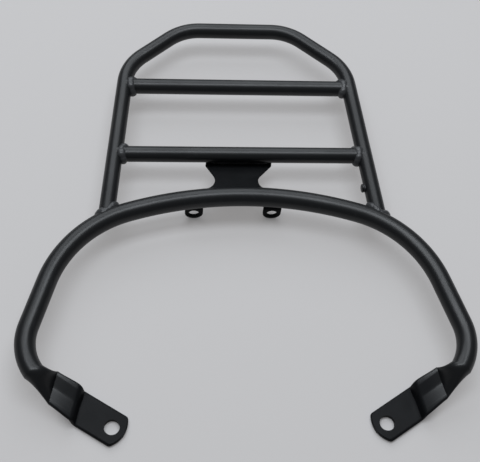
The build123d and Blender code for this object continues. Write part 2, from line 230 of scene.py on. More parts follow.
class RackStage(bpy.types.PropertyGroup):
    """Floor, lamps and camera."""

    floor: colour("Floor", (0.52, 0.51, 0.51), "Plain pale floor")
    floor_glow: share("Floor glow", 0.5, "Share of the floor's tone that shadows leave alone")
    # Within this reach ambient occlusion cuts the floor's glow: a painted contact shadow
    painted_contact_reach: length("Contact", 14.0, "Reach of the full shadow where the rack meets the floor")
    fade: pair("Fade", (600.0, 2500.0), "Where the floor starts to run into the sky's tone, and has it")
    sky: share("Sky light", 0.17, "Even light from all sides")
    sky_tone: colour("Sky colour", (0.93, 0.96, 1.0), "Cool tone of the even light")
    ceiling: number("Ceiling panel", 54.0, "Power of the wide soft lamp overhead, in watts")
    back: number("Back panel", 42.0, "Power of the wide soft lamp behind, in watts")
    panel_tone: colour("Panel colour", (0.9, 0.95, 1.0), "Cool light of the panels")
    lens: number("Lens", 69.07, "Focal length on the sensor, in millimetres")


SETTINGS = {
    "rack_hoop": RackHoopSizes,
    "rack_toe": RackToeSizes,
    "rack_loop": RackLoopSizes,
    "rack_bracket": RackBracketSizes,
    "rack_peg": RackPegSizes,
    "rack_bead": RackBeadSizes,
    "rack_coat": RackCoat,
    "rack_stage": RackStage,
}


# Mesh helpers


HOLE_SIDES = 64
DRILL_LENGTH = 20 * MM
# Edges sharper than this are rounded
BEVEL_FROM = math.radians(40)


def edges_of(geometry):
    """The edges in a list of mesh elements."""
    return [e for e in geometry if isinstance(e, bmesh.types.BMEdge)]


def verts_of(geometry):
    """The vertices in a list of mesh elements."""
    return [v for v in geometry if isinstance(v, bmesh.types.BMVert)]


def round_ring(bm, radius, sides, centre, direction):
    """An open ring across a direction that lies level, with its angles kept in a layer."""
    across = UP.cross(direction)
    turn = bm.verts.layers.float.new("turn")
    made = bmesh.ops.create_circle(bm, cap_ends=False, radius=radius, segments=sides)
    for vert in made["verts"]:
        side, rise = vert.co.x, vert.co.y
        vert[turn] = round(math.degrees(math.atan2(rise, side)), 4) % 360
        vert.co = centre + across * side + UP * rise
    return made["verts"] + bm.edges[:]


def next_ring(bm, ring):
    """Extrudes a ring in place and gives back the new one."""
    made = bmesh.ops.extrude_edge_only(bm, edges=edges_of(ring))["geom"]
    return verts_of(made) + [e for e in edges_of(made) if e.is_boundary]


def close_ring(bm, ring):
    """Caps an open ring with one face."""
    bmesh.ops.contextual_create(bm, geom=edges_of(ring))


def finish_mesh(bm, name, sharp=30):
    """Turns a bmesh into an object at the origin, smooth up to an angle."""
    bmesh.ops.remove_doubles(bm, verts=bm.verts, dist=NEAR)
    bmesh.ops.recalc_face_normals(bm, faces=bm.faces)
    mesh = bpy.data.meshes.new(name)
    bm.to_mesh(mesh)
    bm.free()
    mesh.shade_smooth()
    mesh.set_sharp_from_angle(angle=math.radians(sharp))
    piece = bpy.data.objects.new(name, mesh)
    bpy.context.scene.collection.objects.link(piece)
    return piece


def cut_holes(piece, holes, edge_round, sharp=30):
    """Drills round holes through a piece and rounds its sharp edges."""
    bm = bmesh.new()
    for centre, direction, radius in holes:
        turn = direction.to_track_quat("Z", "Y").to_matrix().to_4x4()
        place = Matrix.Translation(centre) @ turn
        sizes = {"radius1": radius, "radius2": radius, "depth": DRILL_LENGTH}
        bmesh.ops.create_cone(bm, cap_ends=True, segments=HOLE_SIDES, matrix=place, **sizes)
    drill = finish_mesh(bm, "drill")
    boolean = piece.modifiers.new("Holes", "BOOLEAN")
    boolean.object = drill
    boolean.operation = "DIFFERENCE"
    boolean.solver = "EXACT"
    if edge_round:
        bevel = piece.modifiers.new("Edges", "BEVEL")
        bevel.width = edge_round
        bevel.segments = 2
        bevel.limit_method = "ANGLE"
        bevel.angle_limit = BEVEL_FROM
    graph = bpy.context.evaluated_depsgraph_get()
    mesh = bpy.data.meshes.new_from_object(piece.evaluated_get(graph))
    piece.modifiers.clear()
    rough, piece.data = piece.data, mesh
    mesh.name = piece.name
    mesh.shade_smooth()
    mesh.set_sharp_from_angle(angle=math.radians(sharp))
    bpy.data.objects.remove(drill)
    bpy.data.meshes.remove(rough)


def dress(mesh, slot):
    """Gives a mesh the coat of a slot."""
    mesh.materials.clear()
    mesh.materials.append(coat_material(bpy.context.scene, slot))


def settle(piece, slot, *nodes):
    """Coats a finished piece and puts it on the rack in place of its CAD nodes."""
    dress(piece.data, slot)
    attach(piece, "root")
    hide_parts(*nodes)


# Materials


# Inputs for factor, first and second, and the output, of a mix of each kind
MIX_SOCKETS = {"FLOAT": ((0, 2, 3), 0), "RGBA": ((0, 6, 7), 2)}
# Share of the fine grain in the peel, and the part of each noise that shows
GRAIN_IN_PEEL = 0.35
CLOUD_RANGE = (0.32, 0.68)
SPECK_RANGE = (0.55, 0.75)
STREAK_RANGE = (0.56, 0.72)
PATCH_RANGE = (0.5, 0.66)
# Scales of clouds, streaks and rubbed places, per metre
CLOUD_SCALE, STREAK_SCALE, PATCH_SCALE = 22, 260, 30
# Height of peel and grain, share of the dust that shows, and how much rougher a rub is
RELIEF = 0.4 * MM
DUSTINESS = 0.25
RUB_DULLING = 0.12
# Turn and stretch that draw noise out into streaks
STREAK_TURN = (0.3, 0.5, 0.7)
STREAK_STRETCH = (1.0, 0.12, 1.0)
# Each slot's range of gloss, range of roughness, bump, rubs and size of grain
COATS = {
    "coated_tube": ((0.5, 0.61), (0.5, 0.6), 0.12, 0.3, 1.0),
    "coated_sheet": ((0.0, 0.04), (0.5, 0.6), 0.12, 0.4, 1.0),
    "coated_weld": ((0.5, 0.7), (0.45, 0.55), 0.2, 0.3, 0.7),
    "coated_peg": ((0.5, 0.61), (0.45, 0.55), 0.12, 0.3, 0.6),
}


def feed(tree, socket, value):
    """Gives an input its own value, or links it to the output of another node."""
    if isinstance(value, bpy.types.NodeSocket):
        tree.links.new(value, socket)
    else:
        socket.default_value = value


def add_node(tree, kind, *feeds, **values):
    """Adds a node: values go to its settings and inputs by name, feeds to its inputs in order."""
    node = tree.nodes.new(kind)
    for key, value in values.items():
        if key in node.inputs.keys():
            feed(tree, node.inputs[key], value)
        else:
            setattr(node, key, value)
    for socket, value in zip(node.inputs, feeds):
        feed(tree, socket, value)
    return node


def math_node(tree, operation, *terms, clamped=False):
    """Result of a sum, a product or the like of its terms."""
    node = add_node(tree, "ShaderNodeMath", *terms, operation=operation, use_clamp=clamped)
    return node.outputs["Value"]


def map_range(tree, value, start=0.0, end=1.0, low=0.0, high=1.0, kind="LINEAR"):
    """Result of stretching one range to another."""
    node = add_node(tree, "ShaderNodeMapRange", value, start, end, low, high, interpolation_type=kind)
    return node.outputs["Result"]


def mix_node(tree, kind, factor, first, second):
    """Result of mixing two numbers or two colours."""
    node = add_node(tree, "ShaderNodeMix", data_type=kind)
    slots, result = MIX_SOCKETS[kind]
    for slot, value in zip(slots, (factor, first, second)):
        feed(tree, node.inputs[slot], value)
    return node.outputs[result]


def noise_node(tree, vector, scale, **values):
    """Noise of a scale on a vector."""
    return add_node(tree, "ShaderNodeTexNoise", Vector=vector, Scale=scale, **values).outputs["Fac"]


def length_node(tree, vector):
    """Length of a vector."""
    return add_node(tree, "ShaderNodeVectorMath", vector, operation="LENGTH").outputs["Value"]


def node_group(name, inputs, outputs, build):
    """A group of nodes on a vector that is built once: build gives its outputs from its inputs."""
    if name not in bpy.data.node_groups:
        group = bpy.data.node_groups.new(name, "ShaderNodeTree")
        group.interface.new_socket("Vector", in_out="INPUT", socket_type="NodeSocketVector")
        for titles, way in ((inputs, "INPUT"), (outputs, "OUTPUT")):
            for title in titles:
                group.interface.new_socket(title, in_out=way, socket_type="NodeSocketFloat")
        given = group.nodes.new("NodeGroupInput").outputs
        out = group.nodes.new("NodeGroupOutput").inputs
        for title, value in build(group, given).items():
            feed(group, out[title], value)
    return bpy.data.node_groups[name]


def coat_skin_group():
    """Orange peel, fine grain and slow clouds of a powder coat."""

    def build(group, given):
        noises = {}
        for title, detail in (("Peel", 1.5), ("Grain", 2.0), ("Cloud", 3.0)):
            noises[title] = noise_node(group, given["Vector"], given[title + " Scale"], Detail=detail)
        return {
            "Height": mix_node(group, "FLOAT", GRAIN_IN_PEEL, noises["Peel"], noises["Grain"]),
            "Cloud": map_range(group, noises["Cloud"], *CLOUD_RANGE),
            "Speck": map_range(group, noises["Grain"], *SPECK_RANGE),
        }

    scales = ("Peel Scale", "Grain Scale", "Cloud Scale")
    return node_group("powder coat skin", scales, ("Height", "Cloud", "Speck"), build)


def rub_group():
    """Thin rubbed streaks and smudges left by handling and straps."""

    def build(group, given):
        drawn = add_node(
            group, "ShaderNodeMapping", given["Vector"], Rotation=STREAK_TURN, Scale=STREAK_STRETCH
        ).outputs["Vector"]
        streak = noise_node(group, drawn, given["Streak Scale"], Detail=4.0, Roughness=0.65)
        patch = noise_node(group, given["Vector"], given["Patch Scale"], Detail=2.0)
        thin = map_range(group, streak, *STREAK_RANGE)
        where = map_range(group, patch, *PATCH_RANGE)
        return {"Mask": math_node(group, "MULTIPLY", thin, where)}

    return node_group("rub marks", ("Streak Scale", "Patch Scale"), ("Mask",), build)


def pressed_group():
    """Where the hoop's ends are pressed flat, from their distance to the bolt holes."""

    def build(group, given):
        split = add_node(group, "ShaderNodeSeparateXYZ", given["Vector"]).outputs
        side = math_node(group, "ABSOLUTE", split["X"])
        offset = math_node(group, "SUBTRACT", side, given["Hole X"])
        flat = add_node(group, "ShaderNodeCombineXYZ", offset, split["Y"])
        reach = length_node(group, flat.outputs["Vector"])
        return {"Mask": map_range(group, reach, given["Start"], given["End"], 1.0, 0.0, "SMOOTHSTEP")}

    return node_group("pressed ends", ("Hole X", "Start", "End"), ("Mask",), build)


def coat_material(scene, slot):
    """Satin black powder coat: a clouded glossy skin, fine peel, a little dust and a few rubs."""
    name = slot.removeprefix("coated_") + " coat"
    if name in bpy.data.materials:
        return bpy.data.materials[name]
    gloss, roughness, bump, rub, grain = COATS[slot]
    coat = scene.rack_coat
    black = coat.bead_black if slot == "coated_weld" else coat.black
    sheen = coat.sheet_sheen if slot == "coated_sheet" else coat.sheen
    hole_x = scene.rack_toe.tab_spacing / 2
    material = bpy.data.materials.new(name)
    material.use_nodes = True
    tree = material.node_tree
    tree.nodes.clear()
    place = add_node(tree, "ShaderNodeTexCoord").outputs["Object"]

    def use_group(group, *feeds):
        return add_node(tree, "ShaderNodeGroup", place, *feeds, node_tree=group).outputs

    scales = (1 / (coat.peel * grain), 1 / (coat.grain * grain), CLOUD_SCALE)
    skin = use_group(coat_skin_group(), *scales)
    rubs = use_group(rub_group(), STREAK_SCALE, PATCH_SCALE)["Mask"]
    pressed = use_group(pressed_group(), hole_x, *coat.pressed)["Mask"]

    specks = math_node(tree, "MULTIPLY", skin["Speck"], DUSTINESS)
    marks = math_node(tree, "MULTIPLY_ADD", rubs, rub, specks, clamped=True)
    paint = mix_node(tree, "RGBA", marks, (*black, 1), (*coat.dust, 1))
    matte = map_range(tree, skin["Cloud"], low=roughness[0], high=roughness[1])
    dull = math_node(tree, "MULTIPLY_ADD", rubs, RUB_DULLING * rub, matte, clamped=True)
    glossy = map_range(tree, skin["Cloud"], low=gloss[1], high=gloss[0])
    film = mix_node(tree, "FLOAT", pressed, glossy, coat.pressed_gloss)
    relief = add_node(tree, "ShaderNodeBump", Strength=bump, Distance=RELIEF, Height=skin["Height"])
    sockets = {
        "Base Color": paint,
        "Roughness": dull,
        "Specular IOR Level": sheen,
        "Coat Weight": film,
        "Coat Roughness": coat.gloss_roughness,
        "Normal": relief.outputs["Normal"],
    }
    shader = add_node(tree, "ShaderNodeBsdfPrincipled", **sockets)
    add_node(tree, "ShaderNodeOutputMaterial", Surface=shader.outputs["BSDF"])
    return material


# Hoop


RING_SIDES = 120
CROWN_STEPS, SHOULDER_STEPS, TOE_STEPS = 24, 30, 24
TAPER_STEPS, BEND_STEPS = 18, 8
SMOOTH_HOOP = 15
# Places of the rings, as shares of the strip, the tab, its round corners and its tip
STRIP_STOPS = (0.08, 0.2, 0.35, 0.5, 0.62, 0.72, 0.8, 0.87, 0.94)
TAB_STOPS = (0.08, 0.16, 0.26, 0.38, 0.5, 0.62, 0.75, 0.88, 1)
CORNER_STOPS = (0.3, 0.5, 0.65, 0.8, 0.92)
TIP_STOPS = (1, 0.85, 0.7, 0.55, 0.42, 0.3, 0.2, 0.1, 0.03)
# How far before its corners the tab is square, and how fast its dish sinks in
SQUARE_BEFORE = 1 * MM
DISH_ENTRY = 4


def flat_spot(turn, half_width, half_height, corner):
    """Place on a flat section that a spot of the round tube is pressed to, at an even pace."""
    side, top = half_height - corner, 2 * (half_width - corner)
    bend = math.pi / 2 * corner
    runs = (side, bend, top, bend, 2 * side, bend, top, bend, side)
    left = turn / 360 * sum(runs)
    x, y, facing = half_width, 0, 0
    for index, run in enumerate(runs):
        part = min(run, left)
        if index % 2:
            ahead = facing + part / corner
            x += corner * (math.cos(ahead) - math.cos(facing))
            y += corner * (math.sin(ahead) - math.sin(facing))
            facing = ahead
        else:
            x -= part * math.sin(facing)
            y += part * math.cos(facing)
        if left <= run:
            break
        left -= run
    return Vector((x, y))


def bent_path(corners, radius, steps):
    """Places and slopes along a line of straight runs with a round bend at each inner corner."""
    places = []
    for before, at, after in zip(corners, corners[1:], corners[2:]):
        first = math.atan2(before[1] - at[1], at[0] - before[0])
        last = math.atan2(at[1] - after[1], after[0] - at[0])
        swing = last - first
        reach = radius * math.tan(abs(swing) / 2)
        hand = math.copysign(radius, swing)
        x = at[0] - reach * math.cos(first) - hand * math.sin(first)
        z = at[1] + reach * math.sin(first) - hand * math.cos(first)
        for step in range(steps + 1):
            tilt = first + swing * step / steps
            places.append((x + hand * math.sin(tilt), z + hand * math.cos(tilt), tilt))
    return places


def ease(part):
    """A soft climb from 0 to 1."""
    part = min(max(part, 0), 1)
    return part * part * (3 - 2 * part)


def crush_toe(bm, ring, hoop, toe, toe_end, toe_dir):
    """Carries the round end of a toe on through taper, strip, step and tab to the tip."""
    turn = bm.verts.layers.float["turn"]
    radius = hoop.tube_dia / 2
    wall = hoop.tube_wall
    crushed = math.pi * (hoop.tube_dia - wall) / 2 + wall
    half = toe.spread * crushed / 2
    crease_half = crushed / 2
    skew = toe.crease_skew
    hole = Vector((toe.tab_spacing / 2, 0, 0))
    aim = hole - Vector((toe_end.x, toe_end.y, 0))
    along = aim.normalized()
    crease = Vector((toe_end.x, toe_end.y, 0)) + along * toe.taper_length
    tip = aim.length - toe.taper_length + toe.overhang
    strip_end = (toe.strip_run, toe.step_height + wall)
    foot = (toe.strip_run + toe.step_run, wall)
    slope = math.atan2(toe.crease_height - strip_end[1], toe.strip_run)
    corners = [(0, toe.crease_height), strip_end, foot, (tip, wall)]
    bends = bent_path(corners, toe.step_radius, BEND_STEPS)
    step_start, step_end = bends[0][0], bends[-1][0]
    strip = [step_start * stop for stop in STRIP_STOPS]
    strip = [(travel, toe.crease_height - travel * math.tan(slope), slope) for travel in strip]

    def flat_place(vert, width, turned, tilt, valley, roll=0):
        across = UP.cross(Matrix.Rotation(-turned, 3, "Z") @ along)
        rise = UP * math.cos(tilt) + along * (math.sin(tilt) / math.cos(turned))
        spot = flat_spot(vert[turn], width / math.cos(turned), wall, toe.corner_share * 2 * wall)
        if spot.y > 0:
            soft = toe.valley_soft
            part = math.hypot(spot.x / (toe.valley_width / 2), soft) - soft
            spot.y -= valley * max(1 - part / (math.hypot(1, soft) - soft), 0)
        return across * spot.x + rise * (spot.y - spot.x * roll)

    def flat_ring(before, centre, *press):
        made = next_ring(bm, before)
        for vert in verts_of(made):
            vert.co = centre + flat_place(vert, *press)
        return made

    roll = math.tan(toe.strip_roll)
    toe_across = UP.cross(toe_dir)
    crease_centre = crease + UP * toe.crease_height
    for step in range(1, TAPER_STEPS + 1):
        ring = next_ring(bm, ring)
        part = step / TAPER_STEPS
        centre = toe_end.lerp(crease_centre, part)
        centre.z = toe_end.z + (crease_centre.z - toe_end.z) * part**toe.dive
        for vert in verts_of(ring):
            swing = math.radians(vert[turn])
            rim = toe_across * math.cos(swing) + UP * math.sin(swing)
            flat = flat_place(vert, crease_half, skew, slope, toe.valley_depth, roll)
            vert.co = centre + (rim * radius).lerp(flat, part**toe.thumb)

    for travel, height, tilt in strip + bends:
        past = (travel - step_start) / (step_end - step_start)
        fade = ease((step_start - travel) / toe.valley_fade)
        valley = toe.valley_depth * toe.valley_keep * ease(1 - past)
        valley += toe.valley_depth * (1 - toe.valley_keep) * fade
        width = crease_half + (half - crease_half) * ease(travel / toe.strip_run)
        centre = crease + along * (travel / math.cos(skew)) + UP * height
        ring = flat_ring(ring, centre, width, skew, tilt, valley, roll * ease(1 - past))

    start = step_end / math.cos(skew)
    hub = tip - toe.tip_radius
    inner = half - toe.corner_radius
    swing = math.asin(inner / (toe.tip_radius - toe.corner_radius))
    corner = hub + (toe.tip_radius - toe.corner_radius) * math.cos(swing)
    straight = corner - SQUARE_BEFORE
    sections = []
    for part in TAB_STOPS:
        sections.append((start + (straight - start) * part, skew * (1 - part), half))
    sections.append((corner, 0, half))
    for part in CORNER_STOPS:
        bow = part * (math.pi / 2 - swing)
        ahead, aside = toe.corner_radius * math.sin(bow), toe.corner_radius * math.cos(bow)
        sections.append((corner + ahead, 0, inner + aside))
    for part in TIP_STOPS:
        bow = part * swing
        sections.append((hub + toe.tip_radius * math.cos(bow), 0, toe.tip_radius * math.sin(bow)))
    for distance, turned, width in sections:
        gone = (distance - start) / toe.dish_length
        dish = toe.dish_depth * ease(DISH_ENTRY * gone) * ease(1 - gone)
        centre = crease + along * distance + UP * wall
        ring = flat_ring(ring, centre, width, turned, 0, dish)
    close_ring(bm, ring)


class RACK_OT_make_hoop(bpy.types.Operator):
    """Bend the wide hoop and crush its two toes flat"""

    bl_idname = "rack.make_hoop"
    bl_label = "Make hoop"

    def execute(self, context):
        hoop, toe = context.scene.rack_hoop, context.scene.rack_toe
        bm = bmesh.new()
        start = Vector((0, hoop.reach, hoop.height))
        heading = Vector((1, 0, 0))
        ring = round_ring(bm, hoop.tube_dia / 2, RING_SIDES, start, heading)
        bends = [
            (hoop.crown_radius, hoop.crown_angle, CROWN_STEPS, 0),
            (hoop.shoulder_radius, hoop.shoulder_angle, SHOULDER_STEPS, hoop.leg_length),
            (hoop.toe_radius, hoop.toe_angle, TOE_STEPS, 0),
        ]
        for radius, turn, steps, run in bends:
            hub = start + heading.cross(UP) * radius
            swing = Matrix.Rotation(-turn, 3, "Z")
            ring = bmesh.ops.spin(
                bm, geom=ring, cent=hub, axis=UP, angle=-turn, steps=steps, use_duplicate=False
            )["geom_last"]
            start = hub + swing @ (start - hub)
            heading = swing @ heading
            if run:
                ring = next_ring(bm, ring)
                bmesh.ops.translate(bm, verts=verts_of(ring), vec=heading * run)
                start = start + heading * run
        crush_toe(bm, ring, hoop, toe, start, heading)
        bmesh.ops.mirror(bm, geom=bm.verts[:] + bm.edges[:] + bm.faces[:], axis="X", merge_dist=NEAR)
        piece = finish_mesh(bm, "hoop", SMOOTH_HOOP)
        spots = [Vector((side * toe.tab_spacing / 2, 0, 0)) for side in (1, -1)]
        holes = [(spot, UP, toe.hole_dia / 2) for spot in spots]
        cut_holes(piece, holes, 0, SMOOTH_HOOP)
        settle(piece, "coated_tube", "main_hoop")
        return {"FINISHED"}


class RACK_OT_coat_platform(bpy.types.Operator):
    """Coat the platform loop and its two crossbars"""

    bl_idname = "rack.coat_platform"
    bl_label = "Coat platform"

    def execute(self, context):
        for node in ("platform_loop", "front_crossbar", "rear_crossbar"):
            dress(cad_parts[node].data, "coated_tube")
        return {"FINISHED"}


# Places on the rack


def right_rail(hoop, loop):
    """The right rail's rear corner, its foot on the hoop, its direction and the shoulder's hub."""
    turn = Matrix.Rotation(-hoop.crown_angle, 3, "Z")
    crown_hub = Vector((0, hoop.reach - hoop.crown_radius, 0))
    outward = turn @ Vector((0, 1, 0))
    hub = crown_hub + outward * (hoop.crown_radius - hoop.shoulder_radius)
    side = loop.front_spacing / 2
    depth = math.sqrt(hoop.shoulder_radius**2 - (side - hub.x) ** 2)
    foot = Vector((side, hub.y + depth, loop.axis_height))
    corner = Vector((loop.rear_spacing / 2, loop.corner_reach, loop.axis_height))
    return corner, foot, (foot - corner).normalized(), hub


def web_middle(bracket, setback):
    """The web's middle line at a distance behind the crown."""
    return -bracket.shift + bracket.lean * (setback + bracket.ear_ahead)


# Weld beads


BEAD_SIDES = 18
SMOOTH_BEAD = 60
SEAM_STEPS = 192
LINE_STEPS = 160
# How softly a seam runs into its collar
COLLAR_POWER = 4
# Waves in a bead's thickness: turns over its length, shift from bead to bead, height
SLOW_WAVES = ((3, 0.37, 1.0), (5, 0.61, 0.7))
# Thickness at the end of an open bead, and how soon it is full, in radii
END_THICKNESS, END_RUN = 0.05, 1.5
# Height of a web bead above the web and its distance from the tube's axis, in the bead's radii
WEB_BEAD_RISE, WEB_BEAD_SET_OFF = 0.45, 2


def seam_points(bead, bar_radius, start, along, main_point, main_dir, main_radius, collar):
    """Points round the seam of a bar that runs into another tube, kept a collar off its axis."""
    across = UP.cross(along)
    slant = along - main_dir * along.dot(main_dir)
    points = []
    for step in range(SEAM_STEPS):
        turn = 2 * math.pi * step / SEAM_STEPS
        rim = across * math.cos(turn) + UP * math.sin(turn)
        gap = start + rim * bar_radius - main_point
        gap -= main_dir * gap.dot(main_dir)
        half = slant.dot(gap) / slant.length_squared
        rest = (gap.length_squared - main_radius**2) / slant.length_squared
        travel = math.sqrt(max(half * half - rest, 0)) - half
        travel = (max(travel, 0) ** COLLAR_POWER + collar**COLLAR_POWER) ** (1 / COLLAR_POWER)
        inset = bar_radius + bead.proud * abs(math.cos(turn)) - bead.sink * abs(math.sin(turn))
        points.append(start + rim * inset + along * travel)
    return points


def rippled_bead(name, points, bead, radius, closed, seed, longer=Vector()):
    """A bead with scalloped ripples along a line of points, its section made longer one way."""
    lengths = [0.0]
    for first, second in zip(points, points[1:] + points[:1]):
        lengths.append(lengths[-1] + (second - first).length)
    total = lengths[-1] if closed else lengths[-2]
    ripples = max(round(total / bead.pitch), 1)
    bm = bmesh.new()
    spot = bm.verts.layers.float_vector.new("spot")
    ring = None
    for index, point in enumerate(points):
        before = points[index - 1] if closed or index else point
        ahead = (index + 1) % len(points)
        after = points[ahead] if closed or ahead else point
        heading = (after - before).normalized()
        phase = lengths[index] / total
        beat = phase * ripples % 1
        scallop = 1 - (2 * beat - 1) ** 2
        slow = 0
        for turns, shift, height in SLOW_WAVES:
            slow += height * math.sin(2 * math.pi * (turns * phase + seed * shift))
        size = radius * (1 - bead.ripple * (1 - scallop) + bead.wander * slow)
        if not closed:
            from_end = min(lengths[index], total - lengths[index])
            size *= math.sqrt(min(END_THICKNESS + from_end / (END_RUN * radius), 1))
        if ring is None:
            made = bmesh.ops.create_circle(bm, cap_ends=False, radius=1, segments=BEAD_SIDES)
            ring = first_ring = made["verts"] + bm.edges[:]
            for vert in made["verts"]:
                vert[spot] = vert.co
            upright = heading.to_track_quat("Z", "Y").to_matrix()
        else:
            ring = next_ring(bm, ring)
            upright = upright.col[2].rotation_difference(heading).to_matrix() @ upright
        for vert in verts_of(ring):
            rim = upright @ (vert[spot] * size)
            vert.co = point + rim + longer * rim.dot(longer)
    if closed:
        bmesh.ops.bridge_loops(bm, edges=edges_of(first_ring) + edges_of(ring))
    else:
        close_ring(bm, first_ring)
        close_ring(bm, ring)
    return finish_mesh(bm, name, SMOOTH_BEAD)


class RACK_OT_make_tube_beads(bpy.types.Operator):
    """Lay a rippled bead round each crossbar end and each foot of the loop"""

    bl_idname = "rack.make_tube_beads"
    bl_label = "Make tube beads"

    def execute(self, context):
        scene = context.scene
        hoop, loop, bead = scene.rack_hoop, scene.rack_loop, scene.rack_bead
        bar_radius = loop.tube_dia / 2
        corner, foot, rail, hub = right_rail(hoop, loop)
        radial = Vector((foot.x - hub.x, foot.y - hub.y, 0)).normalized()
        seams = {}
        for title, reach in (("front_crossbar", loop.front_bar), ("rear_crossbar", loop.rear_bar)):
            end = corner + rail * ((reach - corner.y) / rail.y)
            seams[title] = (end, Vector((-1, 0, 0)), end, rail, bar_radius, bead.collar)
        axis = Vector((foot.x, foot.y, hoop.height))
        seams["loop_foot"] = (foot, -rail, axis, radial.cross(UP), hoop.tube_dia / 2, 0)
        seed = 0
        for title, seam in seams.items():
            points = seam_points(bead, bar_radius, *seam)
            along = seam[1]
            for side, sign in (("right", 1), ("left", -1)):
                seed += 1
                sided = [Vector((sign * p.x, p.y, p.z)) for p in points]
                name = "bead_" + title + "_" + side
                longer = Vector((sign * along.x, along.y, along.z)) * math.sqrt(bead.stretch - 1)
                piece = rippled_bead(name, sided, bead, bead.radius, True, seed, longer)
                settle(piece, "coated_weld", "weld_" + title + "_" + side)
        return {"FINISHED"}


class RACK_OT_make_web_beads(bpy.types.Operator):
    """Lay the beads that hold the web to the crossbar and to the crown"""

    bl_idname = "rack.make_web_beads"
    bl_label = "Make web beads"

    def execute(self, context):
        scene = context.scene
        hoop, loop, bead = scene.rack_hoop, scene.rack_loop, scene.rack_bead
        bracket = scene.rack_bracket
        set_off = WEB_BEAD_SET_OFF * bead.fillet_radius
        rise = hoop.height - hoop.tube_dia / 2 + WEB_BEAD_RISE * bead.fillet_radius
        hub = Vector((0, hoop.reach - hoop.crown_radius, rise))

        def by_crossbar(side):
            return Vector((side, loop.front_bar - set_off, rise))

        def by_crown(side):
            turn = side / hoop.crown_radius
            return hub + Vector((math.sin(turn), math.cos(turn), 0)) * (hoop.crown_radius + set_off)

        lines = (
            ("crossbar", "crossbar", loop.front_bar - hoop.reach, bead.bar_run, by_crossbar, 7),
            ("crown", "hoop", hoop.tube_dia / 2, bead.hoop_run, by_crown, 8),
        )
        for title, node, setback, run, place, seed in lines:
            middle = web_middle(bracket, setback)
            shares = [step / (LINE_STEPS - 1) - 0.5 for step in range(LINE_STEPS)]
            points = [place(middle + part * run) for part in shares]
            piece = rippled_bead("bead_web_" + title, points, bead, bead.fillet_radius, False, seed)
            settle(piece, "coated_weld", "weld_bracket_" + node)
        return {"FINISHED"}


# Bracket


FOLD_STEPS = 8
WAIST_STEPS = 24
EAR_SEGMENTS = 16
# Share of its half width that rounds an ear's bottom, and the straight run behind its fold
EAR_ROUND = 0.995
EAR_ROOT = 1 * MM
# How nearly straight ahead the face of an ear looks before it is folded
FACING = 0.001


def arc_to_tangent(first, middle, last, beyond, steps):
    """Points on the circle through three places in plan, up to the straight line to a fourth."""
    a, b = middle - first, last - first
    x = b.y * a.length_squared - a.y * b.length_squared
    y = a.x * b.length_squared - b.x * a.length_squared
    hub = first + Vector((x, y)) / (2 * a.cross(b))
    radius = (first - hub).length
    hand = math.copysign(1, a.cross(b))

    def facing(place):
        return math.atan2(place.y - hub.y, place.x - hub.x)

    start = facing(first)
    end = facing(beyond) - hand * math.acos(radius / (beyond - hub).length)
    swing = hand * (hand * (end - start) % (2 * math.pi))
    points = []
    for step in range(steps + 1):
        turn = start + swing * step / steps
        points.append((hub.x + radius * math.cos(turn), hub.y + radius * math.sin(turn)))
    return points


